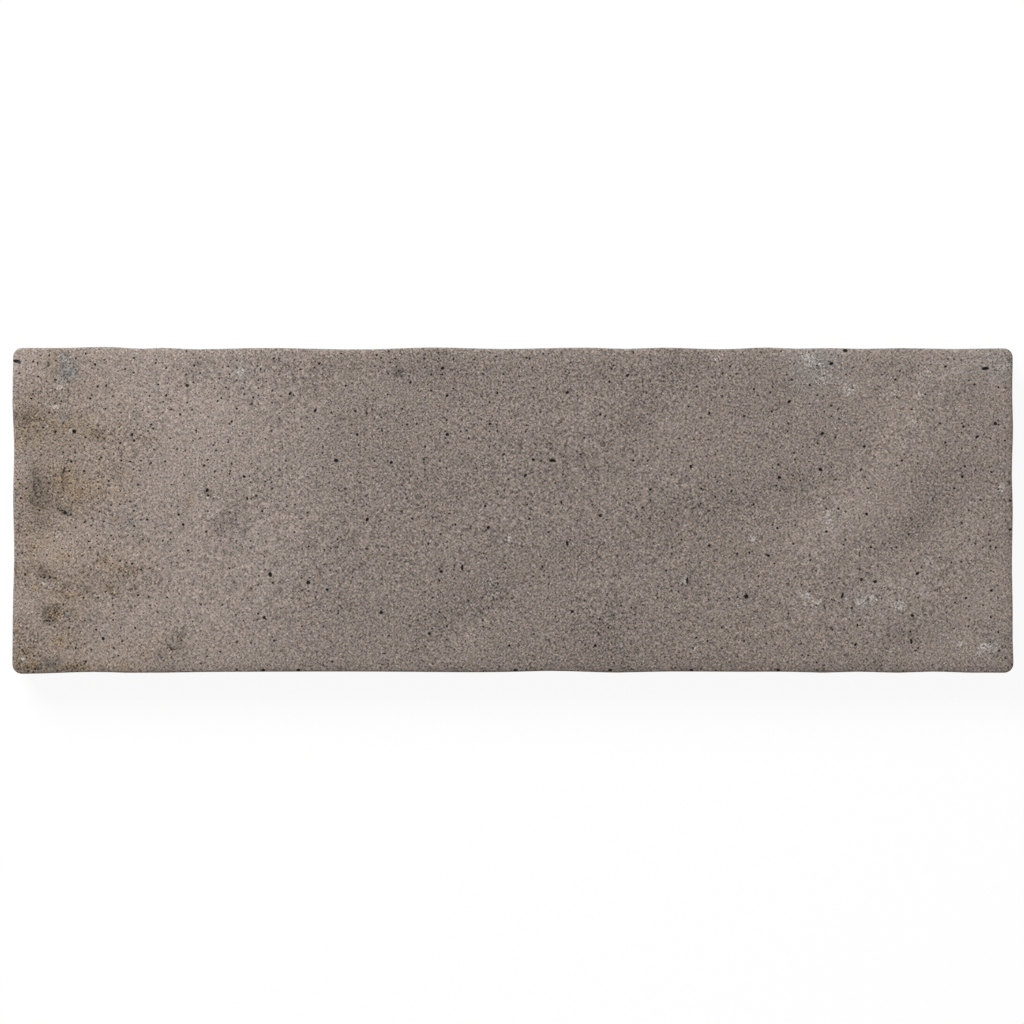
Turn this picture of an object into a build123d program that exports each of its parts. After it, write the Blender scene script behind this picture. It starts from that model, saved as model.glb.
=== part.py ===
"""Pressed ceramic tile: waved edges, an uneven face with a rolled rim, and a keyed back. Millimetres."""
from build123d import *
import os
from math import cos, exp, radians, sin

# Body
length = 200.0
width = 64.8
thickness = 8.5
corner_radius = 1.8
rim_radius = 1.4
bedding_bevel = 0.5

# Keyed back: shallow slots between ribs, inside a flat land that runs all round. Their walls lean by
# the draft, in degrees, that lets the tile leave the press
key_depth = 0.7
key_columns = 4
key_rows = 4
key_draft = 30
rib_width = 3.0
back_land = 5.0

# How far each corner stands out of the nominal rectangle, along the length and along the width
corner_out = {
    "back_left": (0.05, 0.10),
    "back_right": (0.05, 0.00),
    "front_left": (0.20, 0.35),
    "front_right": (0.20, 0.15),
}

# Waves of the four edges: place as a share of the half edge, and how far the edge stands out there
back_waves = [
    (-0.88, 0.13), (-0.80, 0.27), (-0.74, -0.07), (-0.70, 0.12), (-0.66, -0.08), (-0.53, 0.06),
    (-0.40, -0.07), (-0.28, -0.19), (-0.16, 0.19), (-0.06, -0.05), (0.06, 0.00), (0.16, 0.13),
    (0.23, -0.08), (0.30, 0.15), (0.38, -0.10), (0.45, -0.08), (0.51, 0.17), (0.57, -0.06),
    (0.63, 0.07), (0.70, -0.09), (0.77, 0.05), (0.88, -0.12),
]
front_waves = [
    (-0.90, 0.14), (-0.84, -0.02), (-0.77, 0.15), (-0.70, 0.13), (-0.62, 0.00), (-0.52, -0.05),
    (-0.42, -0.09), (-0.22, -0.05), (0.00, -0.05), (0.08, -0.22), (0.15, -0.04), (0.21, 0.11),
    (0.28, -0.05), (0.37, -0.10), (0.48, -0.05), (0.56, -0.03), (0.62, 0.13), (0.69, -0.06),
    (0.77, 0.14), (0.84, -0.08), (0.91, 0.13),
]
left_waves = [(-0.77, 0.15), (-0.58, 0.09), (-0.28, -0.17), (0.11, 0.04), (0.41, -0.15), (0.66, 0.17)]
right_waves = [
    (-0.80, 0.05), (-0.62, 0.06), (-0.38, -0.09), (-0.18, -0.04), (0.02, 0.06), (0.22, -0.12),
    (0.52, 0.12), (0.70, -0.03),
]

# Swells of the face: place as shares of the half length and half width, the turn of the long axis in
# degrees, the reach along and across it, and the rise, which is negative in a hollow
face_swells = [
    (-0.64, 0.30, 35, 26, 13, 0.22),
    (-0.90, 0.05, 80, 12, 7, -0.22),
    (-0.46, -0.30, 25, 18, 8, 0.12),
    (-0.30, 0.55, 20, 16, 7, -0.15),
    (-0.08, -0.65, 30, 22, 6, -0.20),
    (0.06, 0.20, 40, 18, 7, 0.14),
    (0.28, -0.05, 50, 16, 5, 0.22),
    (0.46, 0.45, 25, 18, 7, -0.18),
    (0.74, 0.10, 52, 20, 5, 0.26),
    (0.88, 0.30, 55, 16, 5, -0.20),
    (0.76, -0.62, 30, 12, 5, 0.20),
    (0.93, -0.75, 20, 10, 6, -0.15),
]

# The face is a smooth surface through points this far apart, a little larger than the tile
face_step = 2.5
face_margin = 5.0

half_length = length / 2
half_width = width / 2


def face_height(x, y):
    """Height of the face over the bedding plane at a place on the tile."""
    height = thickness
    for share_x, share_y, turn, reach_along, reach_across, rise in face_swells:
        east = x - share_x * half_length
        north = y - share_y * half_width
        along = (east * cos(radians(turn)) + north * sin(radians(turn))) / reach_along
        across = (north * cos(radians(turn)) - east * sin(radians(turn))) / reach_across
        height += rise * exp(-along * along - across * across)
    return height


def stations(half_run):
    """Evenly spaced places over a run with the margin past both of its ends."""
    reach = half_run + face_margin
    count = round(2 * reach / face_step)
    return [-reach + 2 * reach * i / count for i in range(count + 1)]


def corner_arc(name):
    """Quarter circle of one corner, drawn anticlockwise round the outline."""
    out_x, out_y = corner_out[name]
    side_x = 1 if name.endswith("right") else -1
    side_y = 1 if name.startswith("back") else -1
    centre_x = side_x * (half_length + out_x - corner_radius)
    centre_y = side_y * (half_width + out_y - corner_radius)
    start = {"back_right": 0, "back_left": 90, "front_left": 180, "front_right": 270}[name]
    return CenterArc((centre_x, centre_y), corner_radius, start, 90)


def side(start, middle, end, direction):
    """One waved side between two corners, leaving and meeting them squarely."""
    return Spline(start, *middle, end, tangents=[direction, direction])


with BuildPart() as tile:
    with BuildSketch():
        with BuildLine():
            back_left = corner_arc("back_left")
            back_right = corner_arc("back_right")
            front_left = corner_arc("front_left")
            front_right = corner_arc("front_right")
            back_run = [(share * half_length, half_width + out) for share, out in back_waves]
            side(back_left @ 0, back_run, back_right @ 1, (1, 0))
            front_run = [(share * half_length, -half_width - out) for share, out in front_waves]
            side(front_left @ 1, front_run, front_right @ 0, (1, 0))
            left_run = [(-half_length - out, share * half_width) for share, out in left_waves]
            side(front_left @ 0, left_run, back_left @ 1, (0, 1))
            right_run = [(half_length + out, share * half_width) for share, out in right_waves]
            side(front_right @ 1, right_run, back_right @ 0, (0, 1))
        make_face()
    extrude(amount=thickness + face_margin)

    # The uneven face, cut along a surface through a grid of points
    face_points = [
        [Vector(x, y, face_height(x, y)) for y in stations(half_width)] for x in stations(half_length)
    ]
    split(bisect_by=Face.make_surface_from_array_of_points(face_points), keep=Keep.BOTTOM)
    fillet(tile.faces().sort_by(Axis.Z)[-1].edges(), rim_radius)

    # The back's edge and its keys
    chamfer(tile.faces().sort_by(Axis.Z)[0].outer_wire().edges(), bedding_bevel)
    key_length = (length - 2 * back_land - (key_columns - 1) * rib_width) / key_columns
    key_width = (width - 2 * back_land - (key_rows - 1) * rib_width) / key_rows
    with BuildSketch(Plane.XY) as key_field:
        with GridLocations(key_length + rib_width, key_width + rib_width, key_columns, key_rows):
            SlotOverall(key_length, key_width)
    extrude(key_field.sketch, amount=key_depth, taper=key_draft, mode=Mode.SUBTRACT)

tile.part.label = "tile"
os.makedirs("parts", exist_ok=True)
export_step(tile.part, "parts/tile.step")
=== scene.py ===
"""Looks of the pressed ceramic tile: its face relief, pores, stains, walls and keyed back, and the studio.

Sizes are in millimetres, measured from the middle of the tile's back, until they are put into a mesh.
"""
import logging
import random
from dataclasses import dataclass, field
from enum import Enum
from math import cos, exp, radians, sin, sqrt, tan
from typing import Any, Callable, Dict, List, Optional, Sequence, Tuple, Union

import bmesh
import bpy
import numpy as np
from mathutils import Matrix, Vector, noise
from mathutils.bvhtree import BVHTree
from mathutils.kdtree import KDTree


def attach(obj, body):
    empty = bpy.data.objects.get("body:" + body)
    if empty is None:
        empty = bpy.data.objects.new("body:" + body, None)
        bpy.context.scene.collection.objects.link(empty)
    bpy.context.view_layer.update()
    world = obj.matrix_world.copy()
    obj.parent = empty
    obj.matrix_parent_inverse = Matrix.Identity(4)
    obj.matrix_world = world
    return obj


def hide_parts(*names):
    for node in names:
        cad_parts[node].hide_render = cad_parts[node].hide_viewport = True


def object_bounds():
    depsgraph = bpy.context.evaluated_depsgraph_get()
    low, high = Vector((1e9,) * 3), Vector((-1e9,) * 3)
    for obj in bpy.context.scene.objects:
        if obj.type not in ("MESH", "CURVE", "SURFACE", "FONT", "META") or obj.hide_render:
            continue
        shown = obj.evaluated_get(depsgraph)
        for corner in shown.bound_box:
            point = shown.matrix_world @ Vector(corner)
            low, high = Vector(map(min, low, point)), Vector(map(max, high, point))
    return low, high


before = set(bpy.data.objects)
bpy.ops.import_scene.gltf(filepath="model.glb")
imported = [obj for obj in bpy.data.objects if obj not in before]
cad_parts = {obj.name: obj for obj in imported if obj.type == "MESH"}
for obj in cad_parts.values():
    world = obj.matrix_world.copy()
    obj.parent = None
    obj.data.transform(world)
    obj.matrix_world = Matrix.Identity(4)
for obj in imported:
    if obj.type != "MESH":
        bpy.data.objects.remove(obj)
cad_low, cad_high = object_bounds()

MM = 0.001
log = logging.getLogger("tile")

# A mark on the face: its place, its reach along and across, its strength and, where it is turned, its turn
Mark = Tuple[float, ...]
Colour = Tuple[float, float, float, float]
Socket = bpy.types.NodeSocket
Edges = List[bmesh.types.BMEdge]


class Side(Enum):
    """The four edges of the tile, each as the axis and the sense in which it faces."""

    BACK = (1, 1)
    FRONT = (1, -1)
    LEFT = (0, -1)
    RIGHT = (0, 1)


class Stain(Enum):
    """What lies on the face, each by the name of the mesh attribute that carries it."""

    BROWN = "stain_brown"
    SOOT = "stain_soot"
    BLUE = "scuff_blue"
    CHALK = "scuff_chalk"


def shade(red: int, green: int, blue: int) -> Colour:
    """Linear colour of a screen colour whose parts run from 0 to 255."""
    linear = [((part / 255 + 0.055) / 1.055) ** 2.4 for part in (red, green, blue)]
    return (linear[0], linear[1], linear[2], 1.0)


def within(mark: Mark, x: Any, y: Any) -> Tuple[Any, Any]:
    """Measures places from the middle of a mark.

    Args:
        mark: The mark.
        x: A place along the tile, or an array of them.
        y: A place across the tile, or an array of them.

    Returns:
        The distances along and across the mark, as shares of its reach.
    """
    mark_x, mark_y, reach_along, reach_across, _, *turned = mark
    turn = radians(turned[0]) if turned else 0.0
    east = x - mark_x
    north = y - mark_y
    along = (east * cos(turn) + north * sin(turn)) / reach_along
    across = (north * cos(turn) - east * sin(turn)) / reach_across
    return along, across


def spread(marks: Sequence[Mark], x: Any, y: Any) -> Any:
    """Lays soft marks over one another.

    Args:
        marks: The marks.
        x: A place along the tile, or an array of them.
        y: A place across the tile, or an array of them.

    Returns:
        The sum of the marks at each place.
    """
    total = x * 0.0
    for mark in marks:
        along, across = within(mark, x, y)
        total = total + mark[4] * np.exp(-along * along - across * across)
    return total


def draw_out(mesh: bmesh.types.BMesh, edges: Edges) -> Tuple[Edges, List[bmesh.types.BMVert]]:
    """Extrudes edges.

    Args:
        mesh: The mesh.
        edges: Its edges that are drawn out.

    Returns:
        The new edges and vertices.
    """
    made = bmesh.ops.extrude_edge_only(mesh, edges=edges)["geom"]
    new_edges = [item for item in made if isinstance(item, bmesh.types.BMEdge)]
    return new_edges, [item for item in made if isinstance(item, bmesh.types.BMVert)]


def step_up(values: Any, start: float, over: float) -> Any:
    """A straight rise of values from 0 at the start to 1, over a run."""
    return np.clip((values - start) / over, 0, 1)


def stand(name: str, data: Any) -> bpy.types.Object:
    """Puts an object into the scene.

    Args:
        name: Its name.
        data: Its mesh, lamp or camera.

    Returns:
        The object.
    """
    made = bpy.data.objects.new(name, data)
    bpy.context.scene.collection.objects.link(made)
    return made


# Tone of the face, in screen levels over its middle tone: the clay's own paler and darker patches, and
# painted light and shade that fills out the shading of the face's swells, as in the slanting bands at the
# right end
TONES_AND_SHADE: Tuple[Mark, ...] = (
    (-62.5, 18.5, 13, 15, 12), (-66.5, -3, 13, 13, 8), (-63, -21, 12, 8, 9), (-49, 4, 8, 24, 5),
    (-97.5, 29, 5, 5, 11), (-77, 28, 11, 6, 8), (-94.5, 3, 6, 6, -13), (-96.5, 18, 8, 5, -5),
    (-86.5, -5, 8, 3, 7, 10), (-85.5, -14, 9, 3, -5, -5), (-96.5, -31, 10, 3, -10), (-68, -28, 3, 4, -5),
    (-99, -18, 3, 3, 6), (-84, 16, 9, 2, -4, -5), (-17.5, 28, 9, 3, -4), (28.5, 28, 10, 4, -4),
    (55.5, 24, 4, 5, -4), (14.5, 10, 9, 4, -4, 10), (-10.5, -20, 11, 4, -6, 30), (19, -24, 9, 5, -8, 10),
    (37.5, 0, 15, 4, -6, 18), (53.5, 6, 3, 3, -4), (83.5, 2, 9, 3.5, -8, 45), (77.5, -24, 6, 4, -5),
    (97.5, -24, 3, 8, -4), (31.5, -31, 36, 3, -4), (27.5, 12, 14, 3, 3, 55), (62.5, -3, 10, 5, 9, 40),
    (75.5, 16, 12, 4, 8, 65), (85.5, 28, 6, 4, 4, 20), (58.5, 30, 6, 4, 7), (75.5, -18, 8, 3, 4, 15),
    (89.5, -4, 7, 3, 5, 30), (89.5, -26, 6, 4, 5), (-8.5, -26, 4, 4, 5), (-6, 18, 20, 4, 2),
    (-78, 0, 36, 70, 6), (88, 0, 28, 70, 5), (0, 0, 500, 500, -4.4), (-98.1, 29.5, 3, 2.5, 9),
    (-98.5, 8, 3, 6, 9), (-91, -8.5, 4.5, 3, 9, -40), (-95.5, -18.1, 4, 2.6, 10), (-82.5, -29.3, 9, 3, 9),
    (-79.5, -23, 7, 6, 4), (-72.5, -19, 4, 6, 3), (-40, 19, 4, 4, 6), (-31.5, 24.3, 10, 3, 5),
    (-47.5, -5, 8, 3, 6, 25), (-49.5, -12.5, 6, 3, 4), (-41.5, 6, 5, 12, 3), (-82.5, 21, 14, 3, 4),
    (-84, 11, 5, 4, 4), (-71.5, 2.5, 4, 3, 3), (-80, -2.5, 8, 2.5, 4), (-61.5, 20, 4, 3, 3),
    (51.5, 7, 3, 3, 4), (35, 16.3, 6, 5, 4), (57.5, 22, 5, 3, 5, 60), (67, 25.3, 3, 4, 5),
    (66.5, 31.5, 6, 2, 5), (71, -0.7, 4, 3, 5), (78.5, 8, 8, 3, 4, 60), (90, 29.5, 4, 3, 6),
    (85.5, 25, 3, 3, 3), (96.5, 25, 3, 4, 4), (96.5, -16, 5, 6, 7), (92.5, -20, 6, 3, 4),
    (74.5, -21, 6, 3, 4, 30), (80.5, -29, 5, 3, 4), (57.5, -16, 8, 10, 2.5), (37.5, -1, 5, 4, 3.5),
    (25.5, -14, 6, 4, 3), (23.5, -24, 9, 3, 3, 30), (-8.5, -2, 8, 3, 2.5, 30), (25.5, 28, 4, 3, 3),
    (-90, 27, 3.5, 4, -6), (-64.5, 27, 6, 2.5, -9, 52), (-53.5, 2, 8, 3, -7, 35), (-56, -2.5, 3.5, 3, -7),
    (-65, 1.5, 3, 2, -6), (-74.5, 14.5, 4, 2.5, -6), (-83.5, 1, 5, 2, -5), (-91.5, -20, 3, 3, -10),
    (-96.5, -26, 4, 2, -3), (-67.5, -26, 2.5, 3, -6), (-73.5, -29, 2.5, 2, -4), (-75.5, -13.5, 7, 2, -5),
    (-98.5, -10, 2, 5, -5), (-89.5, 5.5, 3, 4, -3), (-29.5, 15, 7, 4, -3), (-13.5, 28, 5, 5, -4),
    (-13.5, 6, 9, 6, -3.5), (3.5, 12, 7, 6, -3.5), (25.5, 19, 6, 4, -4, 40), (34.5, 30, 5, 3, -6, 45),
    (60.5, 30.3, 3, 3, -6), (58.5, 6, 7, 3, -5), (71.5, 14, 5, 4, -3.5), (79.5, -4, 8, 3, -7, 20),
    (89.5, 6, 7, 6, -4, 45), (88.5, 23, 8, 2, -4), (94.5, 9, 3, 3, -4), (-2.5, -16, 5, 3, -5),
    (-2.5, -27, 6, 4, -4), (12.5, -9, 5, 3, -3), (25.5, 1, 5, 4, -3), (35.5, -14, 3, 7, -5),
    (42.5, 0, 3, 5, -3), (86.5, -24, 3, 3, -3), (71.5, -29, 6, 3, -3), (-33.5, -18, 3, 8, -3),
    (17.5, -8, 6, 3, -3), (-39.5, 25, 4, 2.5, -5), (-84, 30.5, 3, 2.5, 6), (-97.5, 18.9, 3, 2, -8),
    (-80, 7.5, 5, 2, -4), (-78, -1.5, 8, 1.5, -5, -8), (-95, -4, 5, 1.5, -4), (-94, -9.5, 4, 2, 5),
    (-89.5, -15, 2, 2, -4), (-74.5, -14.5, 8, 1.5, -4), (-60.5, 1, 2.5, 2, 6, 30), (-56, -29.5, 9, 3, 5),
    (-3, -5.5, 5, 3, -4, 30), (17.5, -29, 5, 3, -4), (27.5, 17, 4, 4, -3), (75, -2.5, 9, 2, 4, 35),
    (80, -0.2, 3.5, 1, 5, 40), (92.5, 29, 3, 2, 5), (98, 24, 3, 3, 5), (60, 16, 4, 3, -3.5),
    (87.5, 15, 4, 3, 3.5), (68, -27, 4, 3, 3.5), (90.5, -5, 3, 3, 3), (-99, -22, 2, 3, -6),
    (-84, 4.5, 4, 2, 6), (-92.3, -20.5, 1.5, 1.5, -6), (-82, 21, 2, 1.5, 4),
)

# Warmth of the face: brown at the left end, cooler in the patches that are worn pale
WARMTHS: Tuple[Mark, ...] = (
    (-100, 16, 8, 9, 0.35), (-86, 4, 8, 5, 0.45), (-97, -28, 12, 7, 0.4), (-97, -5, 7, 9, 0.5),
    (-86, -12, 16, 10, 0.45), (-88, 22, 14, 10, 0.35), (-78, 14, 8, 8, 0.25), (-80, -28, 12, 5, 0.4),
    (60, 29, 6, 6, -0.9), (97, 29, 5, 4, -0.6), (71, -18, 6, 4, -0.5), (64, -2, 4, 5, -0.4, -60),
    (95, -27, 3, 3, -0.6), (-54.5, 28, 2, 2, -0.6), (52, -26, 14, 8, 0.2), (45, -8, 12, 5, 0.2, -20),
    (88, 28, 8, 3, -0.25), (-93, 9, 7, 9, 0.4), (-85, 17, 5, 4, 0.3), (-91, 30, 2.5, 2.5, 0.5),
    (-98, -6, 5, 6, -0.5), (-89.5, -19, 4, 3, 0.4), (-82, -25, 5, 3, -0.3), (-72, -27, 6, 5, 0.25),
    (-98, -31, 6, 2, 0.3), (-78, -31, 4, 1.5, 0.4), (-84, 5, 3, 1.5, -0.5), (-97, 16, 3, 2, -0.3),
    (-60, 10, 22, 40, -0.12), (-94, -11, 2, 3, -0.4), (-81, -10, 4, 3, 0.2), (-74, -10, 3, 3, 0.2),
    (-83.5, 20, 4, 2.5, -0.35), (-98, 11, 3, 3, -0.4), (-91, 12, 3, 2, -0.3), (-78, 5.5, 5, 4, 0.25),
    (-97, -7, 4, 6, 0.4), (-74.5, -24, 3, 3, -0.3), (-78, -29.5, 6, 2, -0.3), (-72, 28, 6, 5, -0.15),
    (-50, 0, 14, 34, -0.1), (80, 29, 12, 3, -0.15), (77.5, -2, 4, 3, 0.2),
)

# How thickly the pinholes lie
PINHOLES: Tuple[Mark, ...] = (
    (-85, 8, 22, 26, 0.35), (-12, 22, 30, 12, 0.35), (-45, 10, 25, 20, 0.2), (60, -20, 30, 12, 0.1),
    (20, 0, 20, 15, -0.1),
)

STAINS: Dict[Stain, Tuple[Mark, ...]] = {
    Stain.BROWN: (
        (-97.1, 17.5, 3, 3.4, 0.55), (-98.5, 12.5, 2, 2.2, 0.35), (-94.9, 14.5, 1.3, 1.1, 0.4),
        (-90.3, 5.9, 1.3, 1.6, 0.55), (-87.7, 3.1, 2, 1.4, 0.45), (-84.6, 4.8, 3.2, 2.6, 0.5),
        (-88.6, 6.4, 2.4, 1.8, 0.3), (-89, 12.8, 3.6, 2, 0.3, 10), (-80.6, 3.4, 2.6, 1.6, 0.25),
        (-84, 19.5, 3, 1.4, 0.25, -20), (-83.1, 15, 2.2, 1.4, 0.5), (-73.4, 14.2, 1.9, 1, 0.45, 10),
        (-79.1, -1.8, 1.8, 0.9, 0.4), (-71.2, -3.8, 1.4, 0.7, 0.45, 35), (-64.5, 1.7, 1.3, 1, 0.6),
        (-92.9, -12.8, 1.7, 1.5, 0.6), (-91.9, -20.7, 1.7, 1.5, 1.2), (-94.9, -10.9, 1.6, 1.2, 0.4),
        (-90.2, -9, 1.4, 1.6, 0.4, 30), (-82.4, -10.4, 1.4, 0.8, 0.5, -30),
        (-79.6, -11.4, 1.6, 0.8, 0.5, -10), (-76.1, -12, 2, 1.2, 0.55), (-80.9, -15.5, 1.3, 1, 0.75),
        (-79.1, -16.8, 1, 0.6, 0.5), (-75.8, -15.4, 1.1, 0.8, 0.5), (-85.4, -16.1, 2, 1.4, 0.3),
        (-95.3, -15.7, 1.3, 0.9, 0.6), (-88.6, -17.3, 1.6, 1, 0.4), (-88.7, -25.7, 2.4, 2, 0.35, 20),
        (-90.9, -26.1, 1.3, 1.1, 0.4), (-99.1, -23.4, 1, 1.3, 0.65), (-98.3, -25.6, 0.9, 1, 0.5),
        (-97.7, -28.2, 1.8, 1.2, 0.6), (-96.5, -31, 2.6, 1, 0.6), (-88.4, -31.5, 3.4, 0.7, 0.85),
        (-86.5, -31.2, 0.8, 0.8, 0.5), (-73.7, -28.8, 1.8, 1, 0.4, 20), (-66.1, -25, 1.2, 0.9, 0.5, 40),
        (-68.5, -27.5, 2, 1.2, 0.3), (-98.6, -3.2, 1.4, 2.2, 0.3), (-99.2, -11.8, 0.9, 1.3, 0.4),
        (-84, -30.6, 4, 1, 0.3), (-25.9, -9.5, 1, 0.8, 0.4), (11.5, -12.3, 1.6, 1.1, 0.3),
        (21.5, -12.3, 1.6, 1.1, 0.3, 20), (18.7, -23.5, 2.2, 1.5, 0.3, 20), (24.7, -4.7, 2.2, 0.8, 0.3, 40),
        (33.1, -6.5, 1.4, 1.2, 0.3), (-44, 29, 3, 2, 0.2), (-51, 25, 3, 1.2, 0.2),
    ),
    Stain.SOOT: (
        (-95.5, 5, 1.1, 3.2, 0.65, 5), (-94, 3.2, 1.8, 3.4, 0.3), (-95.4, 7.9, 1, 1.1, 0.4),
        (-95.7, 1.9, 1, 1.4, 0.5, -20), (-94.6, -2.4, 2, 1.3, 0.4, -20), (-92, 1, 1.6, 1.6, 0.3),
        (-98.2, 5.2, 1, 1.2, 0.4), (-97.3, 18.6, 1.4, 1, 0.7), (-99.7, 18.6, 0.7, 1.6, 0.6),
        (-92.9, 19.6, 1.2, 0.6, 0.5, -20), (-83.1, 15.1, 1.7, 1, 0.6), (-73.6, 14.3, 1.5, 0.6, 0.45, 10),
        (-93.6, -20.6, 0.5, 1.5, 1.2), (-92.5, -22.1, 1.4, 0.5, 1, 10), (-91.2, -19.5, 0.9, 0.5, 0.7, -10),
        (-94.2, -12.3, 0.8, 1.3, 0.75, 20), (-92.6, -13.4, 1.4, 0.7, 0.5), (-89.3, -0.7, 1.2, 0.6, 0.7, -15),
        (-87.4, -1.4, 1.6, 0.5, 0.4, -20), (-85.2, -16, 1.5, 1.1, 0.45), (-89, -15, 1, 0.7, 0.5),
        (-88.7, -21, 1.3, 1, 0.35), (-92.4, -30.5, 2.6, 1, 0.6, 10), (-97.7, -28.1, 0.9, 0.6, 0.6),
        (-88.4, -31.6, 2.6, 0.4, 0.5), (-95, -31.6, 0.8, 0.4, 0.5), (-80.9, -15.9, 1, 0.6, 0.5),
        (-66.9, -27.2, 1.1, 1.5, 0.45, -10), (-66.1, -24.8, 0.9, 0.8, 0.5, 40), (-70.3, -29.1, 1.2, 1, 0.5),
        (-61, 3.3, 0.9, 1.2, 0.9, 10), (-58.9, -4.3, 1.4, 1.1, 0.5), (-58.1, -0.9, 0.8, 0.7, 0.5),
        (-53.7, -4.1, 1.3, 0.9, 0.6, 20), (-65.9, -2.9, 1.2, 0.7, 0.5, 10), (-78.5, -1.9, 3.2, 0.8, 0.4, -5),
        (-47.1, 17.7, 0.8, 0.6, 0.5), (-34.7, 18.3, 1.2, 0.8, 0.5), (-22.7, 27.9, 0.8, 0.7, 0.6),
        (40.3, 2.5, 1, 0.8, 0.6), (53.9, 24.9, 1.3, 0.8, 0.5), (54.5, 3.9, 1, 0.7, 0.5),
        (61.9, 15.3, 0.9, 0.8, 0.6), (60.7, 13.5, 0.8, 0.9, 0.5, 30), (-23, 27.4, 1.2, 1.5, 0.35),
        (79.7, 27.9, 1.3, 0.9, 0.5), (72.3, -30.7, 1.1, 0.8, 0.5), (98.7, -25.3, 0.8, 1, 0.4),
        (46.6, -17.3, 0.7, 0.7, 0.7),
    ),
    Stain.BLUE: (
        (-89.1, 27.7, 2.2, 2.2, 0.9), (-89.7, 30.7, 1.6, 1.3, 0.6), (-90.4, 22.6, 1.6, 1.6, 0.45),
        (-89.9, 18.9, 1.5, 1.2, 0.6), (-88.9, -20.9, 1.4, 1.1, 0.7), (-37.1, -15.9, 0.7, 0.6, 0.8),
        (-70.6, -29.1, 1, 0.8, 0.6), (-76.8, -2.1, 1.4, 0.9, 0.6), (-86.9, 10.5, 1.6, 1, 0.5, 30),
        (-93, -30.4, 2.6, 0.9, 0.5, 10), (-68, -26.8, 1.2, 1.4, 0.4), (-93.4, -14.8, 2.4, 0.8, 0.3, -27),
    ),
    Stain.CHALK: (
        (-90.8, 24.5, 0.8, 0.4, 1.3, -10), (-91.5, 20.7, 0.6, 0.35, 1.1, -20), (-54.3, 27.9, 0.9, 0.8, 0.7),
        (-93.5, -14.9, 2.1, 0.35, 0.8, -27), (-88.4, 15.8, 0.5, 0.5, 0.9), (-83.4, 17.9, 0.7, 0.4, 0.6),
        (-91.7, -4.9, 2, 1, 0.35, -10), (-98.1, -29.8, 0.5, 0.6, 0.8), (-95.8, -26.4, 0.5, 0.5, 0.7),
        (-90.1, -21.5, 0.35, 1.1, 0.4, -25), (-83, -4, 4.5, 1.6, 0.18, -5), (-90, 7.2, 0.5, 0.4, 0.5),
        (-61.1, 2.4, 0.35, 0.3, 0.9), (-41.2, 7.5, 2.2, 0.5, 0.5, 40), (-48.5, 2.9, 1.6, 0.5, 0.4, 20),
        (-37.5, -4.7, 1.6, 0.5, 0.4, 20), (58.5, 30.8, 1.8, 1.3, 0.45), (60.4, 29.4, 2.2, 1.6, 0.45, -20),
        (62.2, 26.3, 2.6, 1.6, 0.4), (67.1, 24, 2.2, 1.5, 0.55, 20), (82.4, 27, 1.5, 1, 0.5, 40),
        (76.3, 23.5, 1, 0.9, 0.45), (98.3, 28.9, 1.6, 1.2, 0.5, 30), (95.4, 30.9, 2.2, 1.2, 0.35),
        (79.9, 17.8, 1.2, 1, 0.4, 30), (88.4, 10.1, 1, 0.8, 0.35), (68.7, 3.9, 0.5, 0.5, 0.5),
        (61.1, 2, 0.9, 1.8, 0.35), (60.2, -18.7, 3.2, 2, 0.3), (82, -21.6, 2, 1.6, 0.3),
        (86.6, -24.9, 1.6, 1.4, 0.35), (89.4, -26.8, 1.2, 1, 0.5), (93.4, -28.5, 1.6, 0.6, 0.5, 60),
        (75.4, -27.9, 1.5, 1.1, 0.35), (72.2, -25.1, 1.2, 1, 0.35), (52.5, -23.1, 0.4, 0.4, 0.6),
        (54.6, -23.1, 0.4, 0.4, 0.6), (91.9, -5.5, 0.4, 0.4, 0.8), (89.9, -8.4, 0.4, 0.4, 0.8),
        (95, -9.6, 0.4, 0.4, 0.8), (98, -17.2, 0.5, 0.4, 0.7), (98, 4.8, 0.4, 0.4, 0.8),
        (-25, -17.5, 0.4, 0.4, 0.5), (40.9, 30.5, 1.1, 0.9, 0.5), (34.1, 30.5, 1.1, 0.9, 0.4),
        (97.7, 4.3, 0.8, 0.8, 0.7), (92.1, 1.3, 0.8, 0.7, 0.5), (78.5, 13.9, 1.8, 1.5, 0.25),
        (63.1, -1.7, 1.4, 2.2, 0.4, 30), (69.7, -18.3, 1.2, 0.9, 0.6), (72.3, -17.9, 1.6, 1, 0.5),
        (77.5, -19.1, 1.2, 1.1, 0.75), (58.5, -17.3, 1.1, 0.9, 0.5), (82.3, -16.5, 1.1, 0.8, 0.5),
        (83.1, -10.5, 1.3, 1, 0.4), (95.5, -27.5, 2.2, 1.2, 0.5), (54.1, -29.7, 1.1, 0.8, 0.5),
        (44.7, -18.7, 0.7, 0.7, 0.6), (-4.5, -14.3, 0.7, 0.6, 0.8), (-4.1, -17.3, 0.7, 0.6, 0.7),
        (-0.9, -5.7, 0.7, 0.6, 0.8), (81.3, 23.1, 0.7, 0.6, 0.8), (85.3, 23.1, 0.7, 0.6, 0.7),
        (83.5, 11.3, 0.7, 0.6, 0.7), (47.9, -5.7, 0.8, 0.7, 0.9), (36.1, -27.7, 0.7, 0.6, 0.7),
        (68.3, -29.3, 0.7, 0.6, 0.7), (34.2, -14.1, 0.9, 0.8, 0.8), (40.3, -2.3, 0.8, 0.6, 0.4),
        (36.3, 8.3, 0.8, 0.6, 0.4),
    ),
}

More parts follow.
